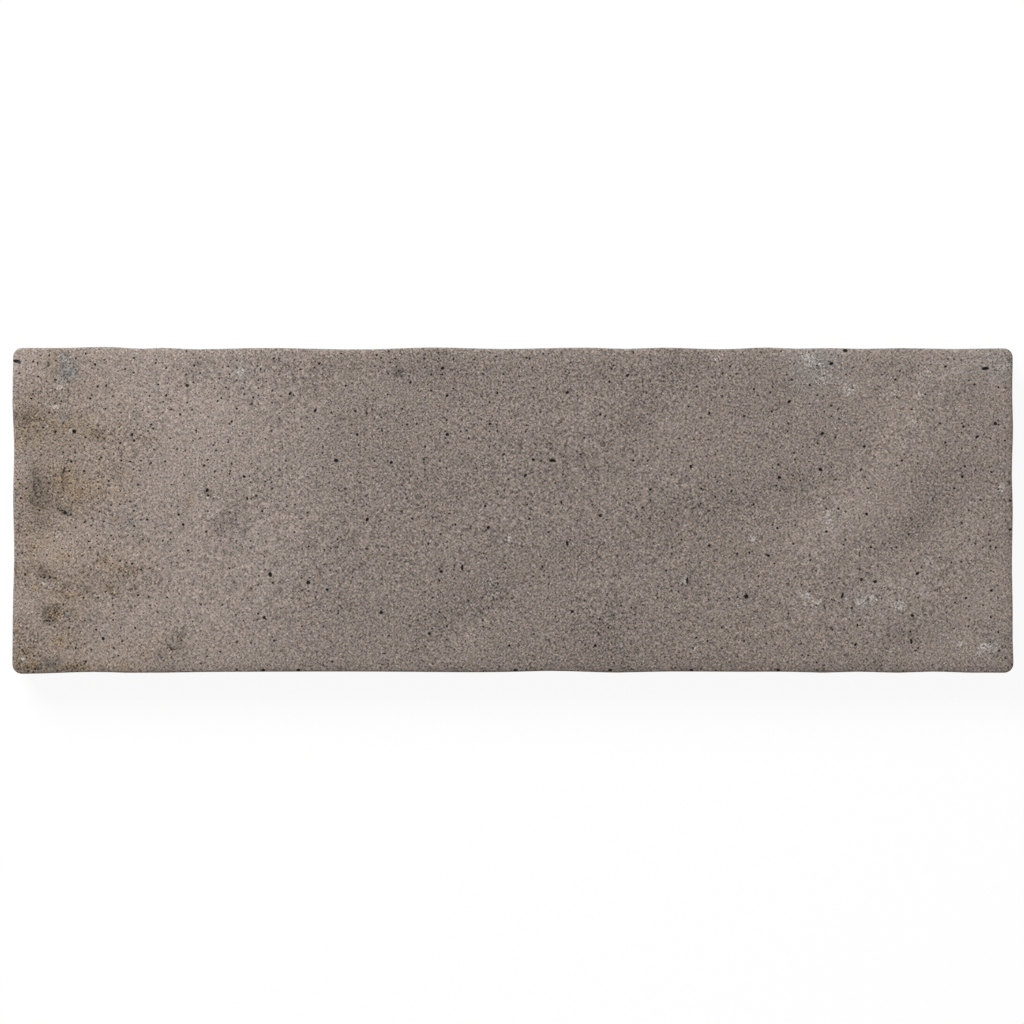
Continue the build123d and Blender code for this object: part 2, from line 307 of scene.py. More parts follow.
# Pores that stand out in the photograph, by size
FINE_PORES: Tuple[Tuple[float, float], ...] = (
    (-75.7, 13.9), (-70.9, 25.1), (-69.3, 22.9), (-58.7, 26.3), (-57.3, 24.5), (-71.9, 16.3), (-99, 6.1),
    (-97.3, 4.3), (-92.7, 19.5), (-95.9, 29.7), (-60.9, 2.9), (-61.3, -4.3), (-76.1, -10.7), (-64.9, -8.1),
    (-83.3, -23.9), (-69.1, -17.5), (-97.5, -12.9), (-53.1, 2.3), (-49.5, 5.7), (-36.3, 19.5), (-39.7, 28.5),
    (-38.9, 16.3), (-34.3, 31.3), (-24.5, 29.5), (-17.7, 30.3), (-14.1, 27.1), (-16.3, 27.1), (-16.3, 23.9),
    (-12.9, 13.5), (-17.5, 12.7), (-17.5, 0.7), (-20.1, -1.7), (-11.5, -2.9), (-16.9, -6.7), (-29.3, -7.7),
    (-14.7, -14.1), (-50.9, -20.7), (-47.7, -26.1), (-25.7, -28.7), (-36.1, -30.3), (-1.9, 11.1),
    (10.1, 10.7), (-0.9, 6.1), (6.1, 31.3), (3.9, 28.5), (19.7, 28.3), (19.3, 25.7), (27.5, -1.7),
    (25.9, 0.5), (9.7, 1.5), (3.3, -1.7), (5.9, -11.3), (23.7, -19.5), (19.1, -23.5), (-0.7, -27.1),
    (30.7, -12.1), (33.7, -5.9), (40.9, 5.7), (47.3, -8.5), (51.5, 23.5), (53.1, 9.1), (52.7, 4.9),
    (57.5, 5.9), (63.7, 20.9), (65.1, 0.3), (62.7, 0.3), (66.1, -6.9), (72.3, -14.3), (63.9, -23.9),
    (59.1, -29.1), (50.7, -26.7), (79.5, -24.3), (80.5, -28.1), (86.5, 28.7), (76.5, 26.1), (90.1, 16.7),
    (86.5, 13.5), (92.5, -6.7), (97.3, -28.1), (98.4, 13.9), (-58.5, -28.3), (92.3, 25.1), (36.7, -25.5),
    (-75.5, -23.6), (-87.4, -27.6), (-88.7, -23.5), (-78.9, -29.1), (-98.1, -8.6), (-84.8, -6.3),
    (-78.1, -26.2), (-74.9, -17), (-85.4, -30.3), (-72.3, 17.1), (-88.7, 7.8), (-85.7, 7.8), (-76.5, 1.7),
    (-80.8, 5.8), (-76.5, 9.7), (-69.5, 9.7), (-67.1, 12.2), (-65.5, 11.9), (-66.8, -0.9), (-75.7, -3.2),
    (-81.8, -2.3), (-85.4, -2.3), (-87.4, -3.5), (-80.3, -5.1), (-82.3, 10.5), (-85.4, 14.5), (-89.9, 17.4),
    (-68.3, 20.1), (-66.5, 19.1), (-65.1, 21.5), (-93.9, 16.5), (-91.4, 15.7), (-88.3, 9.7), (-78.3, 9.9),
    (-78.5, 13.4), (-73.1, -1.9), (-98.4, 2.4), (-63.3, 15.9), (-92.7, 30.9), (-95, 29.4), (-83, 24.7),
    (-81.3, 24.8), (-85.4, 31.3), (-77.5, 28.2), (-71.4, 29.4), (-69.3, 28.4), (-63.7, 28.9), (-58.3, 22.4),
    (-59, 21.8), (-52.2, 21.2), (-51.9, 22.5), (-50.4, 28.2), (-56.2, 17.7), (-56.9, 13.6), (-59.3, 11.9),
    (-56.5, 7.8), (-59.5, 7.8), (-56.2, 9.3), (-72.3, 9.4), (-71.7, 12.1), (-84.5, 22.3), (-55.2, 20.3),
    (-61.7, 8.9), (-93.7, -13.5), (-92.6, -13.5), (-3.3, 30.7), (-3.1, 23.4), (-42.5, 28.1), (-48.1, 23.9),
    (-21.1, 17.1), (-13.2, 18), (-4.7, 17.2), (-3, 3.2), (-5.5, 0.8), (-12.7, -0.7), (-50.1, -0.2),
    (-47.8, 30.3), (-27.2, 31), (-33.4, 24.9), (-31.5, 19.8), (-29.2, 19.3), (24.1, 31.5), (3.4, 30.3),
    (17.5, 19.1), (27, 9.9), (24.1, 9.9), (43.7, 3.8), (27.5, 2), (48.1, 1.1), (46.3, 18.8), (51.8, 19.7),
    (39.3, 19.4), (35.1, 20.7), (36.8, 24.7), (48.2, 24.2), (55.8, 26.1), (59.4, 25), (56, 6.9), (77.4, 27.8),
    (90.4, 8.8), (95.7, 7.6), (77.8, 9.9), (76.8, 8.9), (69.6, 8.1), (64.6, 6.1), (64.5, 14.5), (56.2, 11.4),
    (93.5, 2), (97.1, 4.2), (52.9, -3.6), (56.1, -6.7), (52.3, -10.7), (59.5, -10), (71.6, -7.4),
    (81.7, -11.4), (55.1, -20.7), (62.4, -19.6), (67.8, -19.6), (68.9, -23), (96.6, -7.5), (95.4, -6.1),
    (95.2, -4.9), (87.7, -10.5), (89.8, -2.6), (79.2, -4.8), (90.6, -17.6), (88.4, -18.5), (95.6, -21.4),
    (97.1, -24.4), (60.9, 13.4), (-96.3, 22.3), (-94.9, 26.7),
)
MAIN_PORES: Tuple[Tuple[float, float], ...] = (
    (-83.5, 29.1), (-76.1, 15.1), (-65.1, 24.9), (-61.1, 3.9), (-65.9, -2.9), (-81.9, -25.7), (-53.7, 6.7),
    (-44.5, 23.3), (-39.5, 19.9), (-38.7, 29.3), (-31.1, 15.1), (-24.3, 9.5), (-20.5, 25.5), (-14.1, 28.3),
    (-13.1, 22.9), (-13.1, 15.1), (-4.9, -3.5), (-37.1, -15.9), (-14.3, -12.3), (-26.3, -20.5),
    (-49.7, -21.5), (-16.7, -24.7), (4.1, 10.1), (2.5, 6.9), (10.9, 23.5), (22.9, 26.9), (17.5, -1.1),
    (27.5, 4.1), (11.9, -20.3), (16.5, -27.1), (39.3, -7.1), (51.1, -9.1), (55.3, 21.7), (70.3, 12.7),
    (62.7, -4.3), (69.7, -13.9), (80.9, -12.7), (68.5, -26.9), (79.9, -21.1), (92.9, 14.7), (89.9, 6.7),
    (95.7, -16.1), (96.5, 17.3), (35.6, 8.7), (61.9, 15.3), (70.7, -0.8), (72.5, -14.3), (-14, 28.4),
)
LARGE_PORES: Tuple[Tuple[float, float], ...] = (
    (-87.7, 15.7), (-35.3, 9.9), (-29.1, -1.9), (-48.5, -12.9), (-40.9, -14.5), (53.3, 6.5), (61.5, 8.1),
    (63.7, 29.3), (46.7, -17.3),
)

# Slits, chips and notches, as marks with a depth for their strength
SLITS: Tuple[Mark, ...] = (
    (-99.3, 29.8, 0.7, 0.26, 0.2, -8), (-98.8, 29.6, 0.4, 0.24, 0.12, -30), (-89.8, 7.9, 0.7, 0.14, 0.12, 75),
    (-74.9, 5.1, 0.3, 0.15, 0.1, -30), (-60.9, 18.6, 0.3, 0.12, 0.06, -40),
    (-89.5, -0.6, 0.32, 0.26, 0.15, -20), (-90.2, -0.1, 0.2, 0.18, 0.1), (-88.4, -0.9, 0.26, 0.18, 0.1, 20),
    (-89, -1.1, 0.2, 0.14, 0.08), (-91, 0.3, 0.22, 0.16, 0.08, 30), (7.9, 9.9, 0.55, 0.28, 0.3),
    (94.5, 28.3, 0.65, 0.28, 0.3, 5), (-10.1, -11.5, 0.2, 0.5, 0.25), (10.9, -6.7, 0.2, 0.5, 0.25, 10),
    (65.9, -17.1, 0.2, 0.5, 0.25, -15), (79.7, -26.3, 0.2, 0.45, 0.25), (99.5, 1.9, 0.25, 0.25, 0.15),
    (99.5, -3.9, 0.25, 0.25, 0.15), (-42.9, -32, 0.32, 0.24, 0.2), (-49.9, -32, 0.32, 0.24, 0.2),
    (0.5, -32, 0.32, 0.24, 0.2), (19.5, -32, 0.32, 0.24, 0.2), (35.7, -32, 0.32, 0.24, 0.2),
    (53.1, -32, 0.32, 0.24, 0.2), (66.5, 31.9, 0.4, 0.3, 0.25), (34.9, -14.1, 0.18, 0.6, 0.2),
)


def arithmetic(operation: str, swapped: bool = False) -> Callable[["Value", Any], "Value"]:
    """Makes a method of Value that adds a Math node.

    Args:
        operation: What the node does.
        swapped: Whether the other number comes first.

    Returns:
        The method.
    """

    def method(self: "Value", other: Any) -> "Value":
        """The result of the Math node on this value and another."""
        pair = (other, self) if swapped else (self, other)
        node = self.graph.node("ShaderNodeMath", {"operation": operation}, dict(enumerate(pair)))
        return Value(self.graph, node.outputs[0])

    return method


class Value:
    """A number socket of a node tree. Python arithmetic on it adds Math nodes."""

    def __init__(self, graph: "Graph", socket: Socket) -> None:
        """Wraps a socket of the graph."""
        self.graph = graph
        self.socket = socket

    __add__ = arithmetic("ADD")
    __radd__ = arithmetic("ADD", swapped=True)
    __sub__ = arithmetic("SUBTRACT")
    __rsub__ = arithmetic("SUBTRACT", swapped=True)
    __mul__ = arithmetic("MULTIPLY")
    __rmul__ = arithmetic("MULTIPLY", swapped=True)
    at_least = arithmetic("MAXIMUM")
    at_most = arithmetic("MINIMUM")

    def rise(self, low: Any, high: Any) -> "Value":
        """A smooth step of this value.

        Args:
            low: Where the step is 0.
            high: Where it is 1.

        Returns:
            The step.
        """
        sockets = {0: self, 1: low, 2: high, 3: 0.0, 4: 1.0}
        node = self.graph.node("ShaderNodeMapRange", {"interpolation_type": "SMOOTHSTEP"}, sockets)
        return Value(self.graph, node.outputs[0])

    def fade(self, low: Any, high: Any) -> "Value":
        """A smooth step of this value, from 1 at low to 0 at high."""
        return 1.0 - self.rise(low, high)


class Graph:
    """The node tree of one material or of the world."""

    def __init__(self, owner: Union[bpy.types.Material, bpy.types.World]) -> None:
        """Takes over the node tree of its owner, emptied."""
        owner.use_nodes = True
        self.tree = owner.node_tree
        self.tree.nodes.clear()

    def node(
        self,
        kind: str,
        settings: Optional[Dict[str, Any]] = None,
        sockets: Optional[Dict[Union[int, str], Any]] = None,
    ) -> bpy.types.Node:
        """Adds a node.

        Args:
            kind: The node's type.
            settings: Its own properties, which are set first.
            sockets: A value, socket or Value for each of its inputs, by name or index.

        Returns:
            The new node.
        """
        made = self.tree.nodes.new(kind)
        for name, setting in (settings or {}).items():
            setattr(made, name, setting)
        for key, given in (sockets or {}).items():
            source = given.socket if isinstance(given, Value) else given
            if isinstance(source, Socket):
                self.tree.links.new(source, made.inputs[key])
            else:
                made.inputs[key].default_value = source
        return made

    def value(self, node: bpy.types.Node, output: Union[int, str] = 0) -> Value:
        """One output of a node as a Value."""
        return Value(self, node.outputs[output])

    def painted(self, name: str) -> Value:
        """The mesh attribute of that name."""
        return self.value(self.node("ShaderNodeAttribute", {"attribute_name": name}), "Fac")

    def seen(self) -> Value:
        """Tells the camera's rays from the others.

        Returns:
            1 where the camera looks, also by a gloss or through glass.
        """
        path = self.node("ShaderNodeLightPath")
        mirrored = self.value(path, "Is Camera Ray").at_least(self.value(path, "Is Glossy Ray"))
        return mirrored.at_least(self.value(path, "Is Transmission Ray"))

    def scaled(self, vector: Socket, factor: Any) -> Socket:
        """A vector or colour times a number."""
        sockets = {0: vector, "Scale": factor}
        return self.node("ShaderNodeVectorMath", {"operation": "SCALE"}, sockets).outputs[0]

    def millimetres(self) -> Socket:
        """The place on the piece in millimetres."""
        return self.scaled(self.node("ShaderNodeTexCoord").outputs["Object"], 1 / MM)

    def clouds(self, place: Socket, size: float, detail: float = 2.0, rough: float = 0.5) -> Value:
        """Soft noise of about -1 to 1.

        Args:
            place: Where the noise is read, in millimetres.
            size: The size of its lumps, in millimetres.
            detail: How many finer layers it has.
            rough: How strong they are.

        Returns:
            The noise.
        """
        sockets = {"Vector": place, "Scale": 1 / size, "Detail": detail, "Roughness": rough}
        cloud = self.node("ShaderNodeTexNoise", {"noise_dimensions": "3D"}, sockets)
        return (self.value(cloud, 0) - 0.5) * 3.0

    def drawn_out(self, place: Socket, turn: float, stretch: float) -> Socket:
        """Places that draw a pattern out, stretch times, along a direction turn degrees from the length."""
        sockets = {"Vector": place, "Rotation": (0, 0, radians(turn)), "Scale": (stretch, 1, 1)}
        return self.node("ShaderNodeMapping", {"vector_type": "TEXTURE"}, sockets).outputs[0]

    def grains(self, place: Socket, size: float, plan: bool = False) -> Tuple[Value, Value, Value]:
        """Scattered points, one in each cell of a given size.

        Args:
            place: Where the points are read, in millimetres.
            size: The size of a cell, in millimetres.
            plan: Whether the points are scattered in plan, so that each of them lies in the face.

        Returns:
            The distance to the nearest point in millimetres, and two numbers of that point's own.
        """
        settings = {"feature": "F1", "voronoi_dimensions": "2D" if plan else "3D"}
        cells = self.node("ShaderNodeTexVoronoi", settings, {"Vector": place, "Scale": 1 / size})
        own = self.node("ShaderNodeSeparateColor", None, {0: cells.outputs["Color"]})
        return self.value(cells, "Distance") * size, self.value(own, 0), self.value(own, 1)

    def blend(self, factor: Any, first: Any, second: Any) -> Socket:
        """Lays the second colour over the first, as thickly as the factor says."""
        return self.node("ShaderNodeMix", {"data_type": "RGBA"}, {0: factor, 6: first, 7: second}).outputs[2]


@dataclass(frozen=True)
class FiredClay:
    """The tile's finish: a matt, sandy, stained and pinholed face, and barer clay at its sides and back."""

    face: Colour = shade(133, 122, 115)
    warm: Colour = shade(138, 122, 105)
    cool: Colour = shade(132, 125, 121)
    rusty_grain: Colour = shade(146, 120, 92)
    slate_grain: Colour = shade(112, 116, 121)
    bare: Colour = shade(142, 131, 121)
    brown: Colour = shade(128, 108, 83)
    soot: Colour = shade(88, 81, 75)
    blue: Colour = shade(118, 119, 120)
    chalk: Colour = shade(186, 182, 178)
    crust: Colour = shade(54, 44, 35)
    roughness: float = 0.86
    specular: float = 0.25
    # Sizes of the grain, and how far its parts lie from one another
    sand_size: float = 0.30
    sand_stretch: float = 1.9
    sand_lean: float = 45.0
    grit_size: float = 0.80
    mottle_size: float = 4.0
    blotch_size: float = 2.2
    crumb_size: float = 0.21
    speck_spacing: float = 0.75
    pin_spacing: float = 0.62
    hole_spacing: float = 1.45
    rag_size: float = 1.1
    curd_size: float = 0.55
    crust_spacing: float = 0.44
    dirt_lean: float = 40.0
    dirt_stretch: float = 1.5
    # How much each part shows in the colour
    sand_strength: float = 0.64
    mottle_strength: float = 0.015
    crumb_strength: float = 0.54
    curd_strength: float = 0.35
    blotch_strength: float = 0.14
    speck_strength: float = 0.95
    ring_strength: float = 0.28
    # How dark the pinholes and the pores are painted: painted shade in the holes
    pit_shade_strength: float = 0.90
    pore_shade_strength: float = 0.96
    tint_cover: float = 0.22
    stain_cover: float = 0.6
    chalk_cover: float = 0.42
    crust_cover: float = 0.85
    darkest: float = 0.03
    # How high or deep each part stands in the relief
    sand_height: float = 0.010
    grit_height: float = 0.003
    crumb_height: float = 0.016
    curd_height: float = 0.02
    pit_depth: float = 0.08
    pore_depth: float = 0.05
    crust_depth: float = 0.03

    def dress(self, piece: bpy.types.Object) -> None:
        """Makes the material and gives it to the piece.

        Args:
            piece: The object that wears it.
        """
        material = bpy.data.materials.new("fired_clay")
        graph = Graph(material)
        place = graph.millimetres()
        skin = (graph.painted("skin") + 0.25 * graph.clouds(place, 3.0)).rise(0.35, 0.65)
        upward = graph.painted("upward")

        # Sand in short crossing strokes, and rounder grit
        leaning_left = graph.drawn_out(place, self.sand_lean, self.sand_stretch)
        leaning_right = graph.drawn_out(place, -self.sand_lean, self.sand_stretch)
        sand = graph.clouds(leaning_left, self.sand_size, 0.0)
        sand = (sand + graph.clouds(leaning_right, self.sand_size, 0.0)) * 0.65
        grit = graph.clouds(place, self.grit_size, 3.0, 0.6)
        mottle = graph.clouds(place, self.mottle_size, 3.0, 0.5)
        blotch = graph.clouds(place, self.blotch_size, 3.0, 0.6) * graph.painted("warmth").rise(0.1, 0.7)
        _, crumb, crumb_tint = graph.grains(place, self.crumb_size)
        speck_reach, speck_own, _ = graph.grains(place, self.speck_spacing, True)
        speck = speck_reach.fade(0.07, 0.16) * speck_own.rise(0.62, 0.92) * upward

        # Pinholes of two sizes, the pale ring round the smaller, and the pores that are cut in the mesh; the
        # dark of the holes is painted shade, deeper holes darker
        thick = graph.painted("pinholes")
        pin_reach, pin_own, pin_deep = graph.grains(place, self.pin_spacing, True)
        pin_there = (pin_own + 0.8 * thick).rise(0.90, 1.10)
        pin = pin_reach.fade(0.06, 0.15) * pin_there
        hole_reach, hole_own, hole_deep = graph.grains(place, self.hole_spacing, True)
        hole = (hole_reach - hole_deep * 0.08).fade(0.09, 0.17) * (hole_own + 0.6 * thick).rise(0.95, 1.05)
        # Painted shade in the pinholes, darker in the deeper ones
        pits = (pin * (0.25 + 0.7 * pin_deep) + hole * (0.6 + 0.4 * hole_deep)).at_most(1.0) * upward
        ring = pin_reach.rise(0.12, 0.18) * pin_reach.fade(0.20, 0.30) * pin_there * pin_deep * upward
        # Painted shade in the cut pores, as dark as each is painted by its depth
        pore = (graph.painted("pore") + 0.08 * sand).rise(0.22, 0.48) * graph.painted("pore_depth")

        # Ragged masks of the stains, and the dark crust that lies thickest in them
        ragged = 0.35 * graph.clouds(place, self.rag_size, 4.0, 0.7) + 0.35 * sand + 0.3 * (crumb - 0.5)
        laid = {stain: graph.painted(stain.value) for stain in Stain}
        masks = {}
        for stain in Stain:
            tear = 1.0 if stain in (Stain.BROWN, Stain.SOOT) else 0.6
            masks[stain] = (laid[stain] + ragged * laid[stain].rise(0.0, 0.3) * tear).rise(0.15, 0.75) * skin
        dirt = (0.8 * laid[Stain.BROWN] + laid[Stain.SOOT] + 0.6 * laid[Stain.BLUE]).at_most(1.0)
        smeared = graph.drawn_out(place, self.dirt_lean, self.dirt_stretch)
        curd = graph.clouds(smeared, self.curd_size, 2.0, 0.6)
        crust_reach, crust_own, crust_deep = graph.grains(smeared, self.crust_spacing, True)
        crust = crust_reach.fade(0.08, 0.22) * (crust_own + 0.7 * dirt).rise(0.95, 1.1)
        crust = crust * (0.4 + 0.6 * crust_deep) * dirt.rise(0.02, 0.2) * upward

        # Colour
        warmth = graph.painted("warmth") + 0.10 * mottle - 0.35 * blotch
        colour = graph.blend(warmth.rise(0.0, 1.0), self.face, self.warm)
        colour = graph.blend((0.0 - warmth).rise(0.0, 1.0), colour, self.cool)
        colour = graph.blend(skin, self.bare, colour)
        for mask, cover, laid_on in (
            (crumb_tint.rise(0.55, 1.0), self.tint_cover, self.rusty_grain),
            (crumb_tint.fade(0.0, 0.45), self.tint_cover, self.slate_grain),
            (masks[Stain.BROWN], self.stain_cover, self.brown),
            (masks[Stain.BLUE], self.stain_cover, self.blue),
            (masks[Stain.SOOT], self.stain_cover, self.soot),
            (masks[Stain.CHALK], self.chalk_cover, self.chalk),
            (crust, self.crust_cover, self.crust),
        ):
            colour = graph.blend(mask * cover, colour, laid_on)
        grain = self.sand_strength * sand + self.mottle_strength * mottle
        grain = grain + self.crumb_strength * (crumb - 0.5)
        grain = grain * (1.0 + 0.5 * dirt * skin) + self.curd_strength * curd * dirt * skin
        grain = (grain + self.blotch_strength * blotch + self.speck_strength * speck) * (0.5 + 0.5 * skin)
        # The tone brings the face's own patches and painted light and shade on the flanks of its swells
        light = 1.0 + graph.painted("tone_and_shade") * skin + grain + self.ring_strength * ring
        # Painted shade darkens the pinholes and the cut pores
        light = light * (1.0 - self.pit_shade_strength * pits) * (1.0 - self.pore_shade_strength * pore)
        colour = graph.scaled(colour, light.at_least(self.darkest))

        # Relief in millimetres
        relief = self.sand_height * sand + self.grit_height * grit + self.crumb_height * crumb
        relief = relief + self.curd_height * curd * dirt
        relief = relief - self.pit_depth * pits - self.pore_depth * pore - self.crust_depth * crust
        bump = graph.node("ShaderNodeBump", None, {"Strength": 1.0, "Distance": MM, "Height": relief})
        rough = self.roughness + 0.05 * grit + 0.08 * pits - 0.08 * masks[Stain.BROWN]
        sockets = {
            "Base Color": colour,
            "Roughness": rough.at_most(1.0),
            "Specular IOR Level": self.specular,
            "Normal": bump.outputs[0],
        }
        surface = graph.node("ShaderNodeBsdfPrincipled", None, sockets)
        graph.node("ShaderNodeOutputMaterial", None, {"Surface": surface.outputs[0]})
        piece.data.materials.append(material)


@dataclass
class PlanOutline:
    """The waved outline of the tile in plan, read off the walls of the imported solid."""

    half_length: float = 100.0
    half_width: float = 32.4
    corner_radius: float = 1.8
    corner_gap: float = 0.05
    probe_height: float = 4.0
    probe_start: float = 20.0
    station_step: float = 0.25
    follow: float = 7.0
    stood_out: Dict[Side, np.ndarray] = field(default_factory=dict)
    stations: Dict[Side, np.ndarray] = field(default_factory=dict)

    def read(self, solid: bpy.types.Object) -> None:
        """Measures how far each wall stands out of the nominal rectangle.

        Args:
            solid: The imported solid.
        """
        tree = BVHTree.FromObject(solid, bpy.context.evaluated_depsgraph_get())
        halves = (self.half_length, self.half_width)
        for side in Side:
            axis, sense = side.value
            reach = halves[1 - axis] - self.corner_radius - self.corner_gap
            places = np.arange(-reach, reach + self.station_step, self.station_step)
            outs = []
            for place in places:
                start = [0.0, 0.0, self.probe_height * MM]
                start[1 - axis] = float(place) * MM
                start[axis] = sense * (halves[axis] + self.probe_start) * MM
                heading = [0.0, 0.0, 0.0]
                heading[axis] = -sense
                hit = tree.ray_cast(Vector(start), Vector(heading))[0]
                outs.append(sense * hit[axis] / MM - halves[axis])
            self.stations[side] = places
            self.stood_out[side] = np.array(outs)

    def out(self, side: Side, place: float) -> float:
        """How far a side stands out at a place along it."""
        return float(np.interp(place, self.stations[side], self.stood_out[side]))

    def waved(self, x: float, y: float) -> Tuple[float, float]:
        """Moves a place of the nominal rectangle with the waves of the nearest sides.

        Args:
            x: The place along the tile.
            y: The place across the tile.

        Returns:
            The moved place.
        """
        side_x = Side.RIGHT if x > 0 else Side.LEFT
        side_y = Side.BACK if y > 0 else Side.FRONT
        pull_x = max(0.0, 1 - (self.half_length - abs(x)) / self.follow)
        pull_y = max(0.0, 1 - (self.half_width - abs(y)) / self.follow)
        moved_x = x + side_x.value[1] * pull_x * pull_x * self.out(side_x, y)
        moved_y = y + side_y.value[1] * pull_y * pull_y * self.out(side_y, x)
        return moved_x, moved_y

    def rounded(self, x: float, y: float) -> Tuple[float, float, float]:
        """Rounds the corners of the nominal rectangle.

        Args:
            x: The place along the square-cornered rectangle.
            y: The place across it.

        Returns:
            The place in the round-cornered rectangle, and its distance from the outline.
        """
        radius = self.corner_radius
        deep_x = max(0.0, 1 - (self.half_length - abs(x)) / radius)
        deep_y = max(0.0, 1 - (self.half_width - abs(y)) / radius)
        if deep_x == 0 or deep_y == 0:
            return x, y, min(self.half_length - abs(x), self.half_width - abs(y))
        round_x = deep_x * sqrt(1 - deep_y * deep_y / 2)
        round_y = deep_y * sqrt(1 - deep_x * deep_x / 2)
        new_x = (self.half_length - radius + radius * round_x) * (1 if x > 0 else -1)
        new_y = (self.half_width - radius + radius * round_y) * (1 if y > 0 else -1)
        return new_x, new_y, radius * (1 - sqrt(round_x * round_x + round_y * round_y))

    def outward(self, x: float, y: float) -> Vector:
        """The direction square to the outline at a place on it.

        Args:
            x: The place along the tile.
            y: The place across the tile.

        Returns:
            The direction, of length 1.
        """
        deep_x = abs(x) - (self.half_length - self.corner_radius)
        deep_y = abs(y) - (self.half_width - self.corner_radius)
        sense_x = 1 if x > 0 else -1
        sense_y = 1 if y > 0 else -1
        if deep_x > 0 and deep_y > 0:
            return Vector((deep_x * sense_x, deep_y * sense_y, 0)).normalized()
        return Vector((sense_x, 0, 0)) if deep_x > deep_y else Vector((0, sense_y, 0))


@dataclass
class PressedTile:
    """The whole tile as one closed shell: a pitted face, a rolled rim, plain walls and a keyed back."""

    outline: PlanOutline
    name: str = "pressed_tile"
    thickness: float = 8.5
    cell: float = 0.55
    # Distances from the edge at which the rim has its rows
    rim_rows: Tuple[float, ...] = (0.0, 0.012, 0.05, 0.12, 0.22, 0.35, 0.52, 0.72, 0.96, 1.25, 1.6, 2.0, 2.45)
    lip_width: float = 0.30
    lip_drop: float = 0.33
    roll_width: float = 0.88
    roll_drop: float = 0.44
    wall_rows: int = 8
    bedding_bevel: float = 0.5
    key_depth: float = 0.7
    key_columns: int = 4
    key_rows: int = 4
    key_draft: float = 30.0
    key_end_segments: int = 32
    rib_width: float = 3.0
    back_land: float = 5.0
    face_allowance: float = 0.03
    sharp_angle: float = 38.0
    # Swells and worn dents of the face, as marks with a rise for their strength
    swells: Tuple[Mark, ...] = (
        (-64, 9.7, 26, 13, 0.22, 35), (-90, 1.6, 12, 7, -0.22, 80), (-46, -9.7, 18, 8, 0.12, 25),
        (-30, 17.8, 16, 7, -0.15, 20), (-8, -21.1, 22, 6, -0.20, 30), (6, 6.5, 18, 7, 0.14, 40),
        (28, -1.6, 16, 5, 0.22, 50), (46, 14.6, 18, 7, -0.18, 25), (74, 3.2, 20, 5, 0.26, 52),
        (88, 9.7, 16, 5, -0.20, 55), (76, -20.1, 12, 5, 0.20, 30), (93, -24.3, 10, 6, -0.15, 20),
        (-92, -20.8, 1.8, 1.6, -0.13), (-93.3, -13.2, 1.7, 1.1, -0.12, -30), (-60.9, 3.1, 0.7, 0.8, -0.12),
        (-89.3, -0.6, 1.6, 0.7, -0.10, -15),
    )
    # Ripples, each a size, a strength and a layer of the noise: lumps of the face, and wander of the rim
    lumps: Tuple[Mark, ...] = ((5.5, 0.020, 3.1), (1.9, 0.010, 7.7))
    wander: Tuple[Mark, ...] = ((3.0, 0.30, 11.3), (0.9, 0.18, 5.0))
    # Radius and depth of the fine, main and large pores, and how much these vary
    pore_sizes: Tuple[Tuple[float, float], ...] = ((0.19, 0.20), (0.25, 0.30), (0.33, 0.40))
    pore_vary: float = 0.15
    pore_stretch: float = 1.25
    pore_shallowest: float = 0.6
    pore_seed: int = 20
    pore_margin: float = 0.42
    pore_cuts: int = 3
    pore_bowl: float = 1.4
    pore_search: float = 1.3
    # Painted shade in the pores: how far past each pore it spreads, how dark the shallowest is, and how much
    # darker it grows with depth
    pore_halo: float = 1.15
    pore_shade_least: float = 0.65
    pore_shade_rise: float = 2.0
    thickest_stain: float = 1.2
    # Heights at which the skin of the face and the dark of the pores begin, and their rises
    skin_from: float = 5.4
    skin_rise: float = 1.6
    pores_from: float = 7.45
    pores_rise: float = 0.3
    # Upright part of the normal at which a place counts as facing up, and its rise
    upward_from: float = 0.45
    upward_rise: float = 0.35
    # Scale of the tone from screen levels to light; the tone holds painted light and shade besides the face's
    # own patches
    tone_and_shade_level: float = 2.2 / 124
    pinhole_base: float = 0.35

    def pores(self) -> List[Tuple[Mark, float]]:
        """Lists every cut pore.

        Returns:
            Each as a mark with its depth for its strength, and its reach.
        """
        draw = random.Random(self.pore_seed)
        rows: List[Tuple[Mark, float]] = []
        for places, (radius, depth) in zip((FINE_PORES, MAIN_PORES, LARGE_PORES), self.pore_sizes):
            for x, y in places:
                size = radius * draw.uniform(1 - self.pore_vary, 1 + self.pore_vary)
                stretch = draw.uniform(1.0, self.pore_stretch)
                turn = draw.uniform(0, 180)
                deep = depth * draw.uniform(self.pore_shallowest, 1.0)
                rows.append(((x, y, size * stretch, size / stretch, deep, turn), size * stretch))
        return rows + [(mark, max(mark[2], mark[3])) for mark in SLITS]

    def rim_fall(self, distance: float) -> float:
        """Fall of the rim from the face.

        Args:
            distance: The distance from the edge.

        Returns:
            How far it has fallen.
        """
        fall = self.roll_drop * exp(-distance / self.roll_width)
        if distance < self.lip_width:
            share = 1 - distance / self.lip_width
            fall += self.lip_drop * (1 - sqrt(max(0.0, 1 - share * share)))
        return fall

    def height(self, x: float, y: float, distance: float) -> float:
        """Height of the face over the bedding plane.

        Args:
            x: The place along the tile.
            y: The place across the tile.
            distance: Its distance from the edge.

        Returns:
            The height, with the swells, the rim's roll and the fine unevenness.
        """
        def rippled(ripples: Tuple[Mark, ...]) -> float:
            """The sum of some ripples here."""
            return sum(
                power * noise.noise(Vector((x / size, y / size, layer))) for size, power, layer in ripples
            )

        uneven = float(spread(self.swells, x, y)) + rippled(self.lumps)
        fall = self.rim_fall(distance / (1 + rippled(self.wander)))
        return self.thickness + uneven - self.face_allowance - fall

